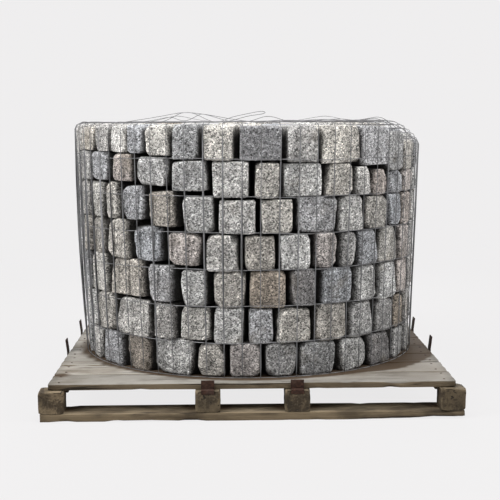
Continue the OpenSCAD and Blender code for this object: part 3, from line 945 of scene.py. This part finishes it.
def footDirtAndShadow(places):
    # dark ring and patches round the stones' foot on the deck: dirt washed off the stones, and painted shadow
    # of the stack
    flat = places[:, :2] - np.array(axis)[:2]
    foot = np.linalg.norm(flat, axis=1) - soil["foot"]
    angle = np.degrees(np.arctan2(flat[:, 0], -flat[:, 1]))
    turns, *shape = zip(*soil["around"])
    reach, strength, sharp = (np.interp(angle, turns, row) for row in shape)
    dirtAndShadow = strength * np.clip(sharp - sharp * foot / reach, 0, 1)
    for x, y, radius, strength in soil["patches"]:
        away = np.hypot(places[:, 0] - x, places[:, 1] - y)
        dirtAndShadow = np.maximum(dirtAndShadow, strength * np.clip(1.4 - 1.4 * away / radius, 0, 1))
    return np.clip(dirtAndShadow, 0, 1)


def shadowBesideBlocks(places):
    # the shaded back of a bottom board, beside each block
    strength, reach = soil["besideBlock"]
    beside = np.min([np.abs(np.abs(places[:, 0]) - side) for side in soil["blockSides"]], axis=0)
    back = np.clip((places[:, 1] - places[:, 1].min()) / 0.07, 0, 1)
    return strength * back * np.clip(1.3 - beside / reach, 0, 1)


def makePlank(node, name, along, seed, material, wane=None):
    plank, low, high = slicedBox(node, name, along)
    mesh = plank.data
    places = points(mesh)
    across = 1 - along
    shift = np.random.default_rng(seed).uniform(0, 9, 3)
    middle = (low + high) / 2
    inward = np.sign(middle - places)
    toSide = np.minimum(places - low, high - places)
    stretch = np.array((1.0, 1.0, 1.0))
    stretch[along] = 0.35
    near = np.clip(1 - np.maximum(toSide[:, across], toSide[:, 2]) / planks["reach"], 0, 1)
    rough = stray(places * stretch + shift, 42, 0)
    chip = near * np.clip((rough - planks["chipsAt"]) / 0.3, 0, 1) * planks["chip"]
    hollow = np.clip(stray(places * stretch + shift, 14, 5) + 0.2, 0, 1) * planks["wave"]
    edge = np.clip(1 - toSide[:, along] / 0.012, 0, 1)
    jag = edge * np.clip(stray(places + shift, 30, 3) + 0.4, 0, 1) * planks["ragged"]
    places[:, across] += inward[:, across] * (chip + hollow * (toSide[:, across] < 0.003))
    places[:, 2] += inward[:, 2] * (0.8 * chip + hollow * (toSide[:, 2] < 0.003))
    places[:, along] += inward[:, along] * jag
    if wane:
        x, share = zip(*wane["line"])
        lost = np.interp(places[:, 0], x, share)
        lost *= 1 + 0.35 * stray(places + shift, 60, 1)
        floor = low[2] + lost * wane["height"] - (places[:, 1] - low[1]) * wane["height"] / wane["depth"]
        places[:, 2] = np.maximum(places[:, 2], floor)
    setPoints(mesh, places)
    # paler and darker at random, darker in the chips, near the sawn ends and on the tops of dull boards
    wear = 0.5 + 0.22 * stray(places * stretch + shift, 9, 2) - 0.28 * (chip > 0.0005) - 0.18 * edge
    wear -= planks["dull"].get(node, 0) * (places[:, 2] > middle[2])
    store(mesh, "seed", "FLOAT_VECTOR", np.tile(shift, (len(places), 1)))
    store(mesh, "wear", "FLOAT", np.clip(wear, 0, 1))
    kind = node.partition("_")[0]
    dirtAndShadow = {"deck": footDirtAndShadow, "bottom": shadowBesideBlocks}.get(kind, lambda spots: np.zeros(len(spots)))
    store(mesh, "soil", "FLOAT", dirtAndShadow(places))
    only(plank)
    bpy.ops.object.shade_smooth_by_angle(angle=math.radians(35))
    return keep(plank, "old_wood", material, node)


def makeBlocks(node, name, seed, material):
    piece = copyOf(node, name)
    modify(piece, "REMESH", mode="VOXEL", voxel_size=blocks["voxel"], use_smooth_shade=True)
    spread = np.random.default_rng(seed)
    mesh = piece.data
    places = points(mesh)
    label = islands(mesh)
    shift = spread.uniform(0, 9, (label.max() + 1, 3))
    losses = (blocks["face"], blocks["edge"], blocks["corner"])
    for i in range(label.max() + 1):
        mine = label == i
        low, high = places[mine].min(0), places[mine].max(0)
        centre = (low + high) / 2
        block = np.clip((places[mine] - centre) * (1 + blocks["square"]), low - centre, high - centre)
        places[mine] = chipped(block, spread, losses, (0.01, 0.10, 0.35)) + centre
    setPoints(mesh, places)
    for size, depth, proud in blocks["dents"]:
        texture = dentTexture("dent%d" % round(1e4 * size), size)
        modify(piece, "DISPLACE", texture=texture, texture_coords="LOCAL", strength=-depth,
               mid_level=proud)
    mesh = piece.data
    low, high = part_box(node)
    places = np.clip(points(mesh), low, high)
    if not node.startswith("blocks_mid"):
        # let in for the strap
        left, right = tabSides()
        under = (np.abs(places[:, 0]) > left) & (np.abs(places[:, 0]) < right)
        under &= places[:, 2] > high[2] - straps["drop"]
        rim = cadBox[1].y - straps["thick"] - straps["inset"]
        places[under, 1] = np.clip(places[under, 1], -rim, rim)
    setPoints(mesh, places)
    middles = [places[label == i, 0].mean() for i in range(label.max() + 1)]
    paler = np.zeros(len(middles))
    paler[np.argsort(middles)] = blocks["bleached"].get(node, 0)
    store(mesh, "seed", "FLOAT_VECTOR", shift[label])
    # hollows darker as painted shade, ridges paler; some front blocks paler as a whole
    store(mesh, "wear", "FLOAT", np.clip(0.5 + 1.3 * bulge(mesh) + paler[label], 0, 1))
    only(piece)
    bpy.ops.object.shade_smooth()
    print(name, len(mesh.polygons), "faces")
    return keep(piece, "old_wood", material, node)


def tabSides():
    # how far the near and the far side of an end tab are from the middle of the pallet
    low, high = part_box("tab_front_right")
    return low[0] - tabs["play"], high[0] + tabs["play"]


def drawOut(piece, chosen, move):
    # extrudes the faces for which chosen(centre, normal) holds
    only(piece)
    picked = [chosen(face.center, face.normal) for face in piece.data.polygons]
    bpy.ops.object.mode_set(mode="EDIT")
    bpy.ops.mesh.select_mode(type="FACE")
    bpy.ops.mesh.select_all(action="DESELECT")
    bpy.ops.object.mode_set(mode="OBJECT")
    piece.data.polygons.foreach_set("select", picked)
    bpy.ops.object.mode_set(mode="EDIT")
    bpy.ops.mesh.extrude_region_move(TRANSFORM_OT_translate={"value": move})
    bpy.ops.mesh.select_all(action="DESELECT")
    bpy.ops.object.mode_set(mode="OBJECT")


def makeStrap(node, end):
    # lies on the block from the tab's outer face and turns down over the block's edge
    thick = straps["thick"]
    low, high = (Vector(corner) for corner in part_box(node))
    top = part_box("blocks_front")[1][2]
    near = low.y if end < 0 else high.y
    rim = (cadBox[0].y if end < 0 else cadBox[1].y) - end * (thick + straps["inset"])
    bpy.ops.object.select_all(action="DESELECT")
    middle = ((low.x + high.x) / 2, (near + rim) / 2, top + thick / 2)
    bpy.ops.mesh.primitive_cube_add(size=1, location=middle)
    strap = bpy.context.object
    strap.scale = (high.x - low.x - 0.001, abs(rim - near) + 0.001, thick)
    bpy.ops.object.transform_apply(location=True, rotation=False, scale=True)
    drawOut(strap, lambda centre, normal: normal.y * end > 0.9, (0, end * thick, 0))
    drawOut(strap, lambda centre, normal: normal.z < -0.9 and centre.y * end > rim * end,
            (0, 0, -straps["drop"]))
    return strap


def makeTab(node, name, material):
    tab = copyOf(node, name)
    only(tab)
    bpy.ops.object.mode_set(mode="EDIT")
    bpy.ops.mesh.select_all(action="SELECT")
    bpy.ops.mesh.dissolve_limited(angle_limit=math.radians(1))
    bpy.ops.object.mode_set(mode="OBJECT")
    end = {"front": -1, "back": 1}.get(node.split("_")[1])
    if end:
        strap = makeStrap(node, end)
        only(tab)
        strap.select_set(True)
        bpy.ops.object.join()
    modify(tab, "BEVEL", width=tabs["bevel"], segments=2, limit_method="ANGLE",
           angle_limit=math.radians(40))
    refine(tab, tabs["longest"])
    texture = dentTexture("flakes", tabs["flake"])
    modify(tab, "DISPLACE", texture=texture, texture_coords="LOCAL", strength=-tabs["pitted"],
           mid_level=0.0)
    only(tab)
    bpy.ops.object.shade_smooth_by_angle(angle=math.radians(35))
    return keep(tab, "rust", material, node)


def makeNails(material):
    spread = random.Random(77)
    bpy.ops.object.select_all(action="DESELECT")
    bpy.ops.mesh.primitive_cylinder_add(vertices=10, radius=nails["radius"], depth=nails["height"])
    model = bpy.context.object
    model.name = "nailHead"
    top = points(model.data)
    top[:, :2] *= np.where(top[:, 2:] > 0, 0.8, 1.0)
    heads = []
    boards = [name for name in nodes if name.startswith("deck_board")]
    for board in boards:
        low, high = (Vector(corner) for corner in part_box(board))
        for column in nails["columns"]:
            for side, hand in itertools.product((-1, 1), repeat=2):
                place = Vector((side * column, (low.y + high.y) / 2 + hand * nails["apart"], high.z))
                place += Vector([spread.uniform(-1, 1) * nails["stray"] for _ in range(2)] + [0])
                head = model.copy()
                head.data = model.data.copy()
                bpy.context.scene.collection.objects.link(head)
                setPoints(head.data, top + np.array(place))
                heads.append(head)
    bpy.data.objects.remove(model)
    only(heads[0])
    for head in heads:
        head.select_set(True)
    bpy.ops.object.join()
    heads = bpy.context.object
    heads.name = "deckNails"
    keep(heads, "rust", material)


def makePallet():
    rust = rustFinish()
    deckWood = woodFinish("greyDeck", 0, (0.288, 0.273, 0.246), (0.192, 0.172, 0.144), (0.10, 0.080, 0.058),
                          0.9, 0.3, (0.60, 0.51, 0.39), 0.13)
    browns = (0.186, 0.149, 0.100), (0.102, 0.076, 0.046), (0.033, 0.024, 0.015)
    plain = (1.0, 1.0, 1.0)
    boardWood = woodFinish("wornBoard", 0, *browns, 0.6, 0.6, plain, 0.085)
    bearerWood = woodFinish("wornBearer", 1, *browns, 0.5, 0.5, plain, 0.09)
    blockWood = woodFinish("darkBlock", 1, *(tuple(0.76 * c for c in shade) for shade in browns),
                           0.6, 0.7, plain, 0.065)
    for seed, node in enumerate(sorted(nodes)):
        kind, _, rest = node.partition("_")
        name = kind + "".join(word.title() for word in rest.split("_"))
        if kind == "deck":
            makePlank(node, name, 0, seed, deckWood)
        elif kind == "bottom":
            makePlank(node, name, 0, seed, boardWood, wanes if node.endswith("d_front") else None)
        elif kind == "bearer":
            makePlank(node, name, 1, seed, bearerWood)
        elif kind == "blocks":
            makeBlocks(node, name, seed, blockWood)
        elif kind == "tab":
            makeTab(node, name, rust)
    makeNails(rust)


coreLow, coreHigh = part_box("core")
axis = (Vector(coreLow) + Vector(coreHigh)) / 2
deckTop = Vector(coreLow).z
cageLine = widening()
setCamera()
makeFloor()
makeWorld()
makeLamps()
print("studio made")
makeStones()
print("stones made")
makeCage()
print("cage made")
makePallet()
print("pallet made")
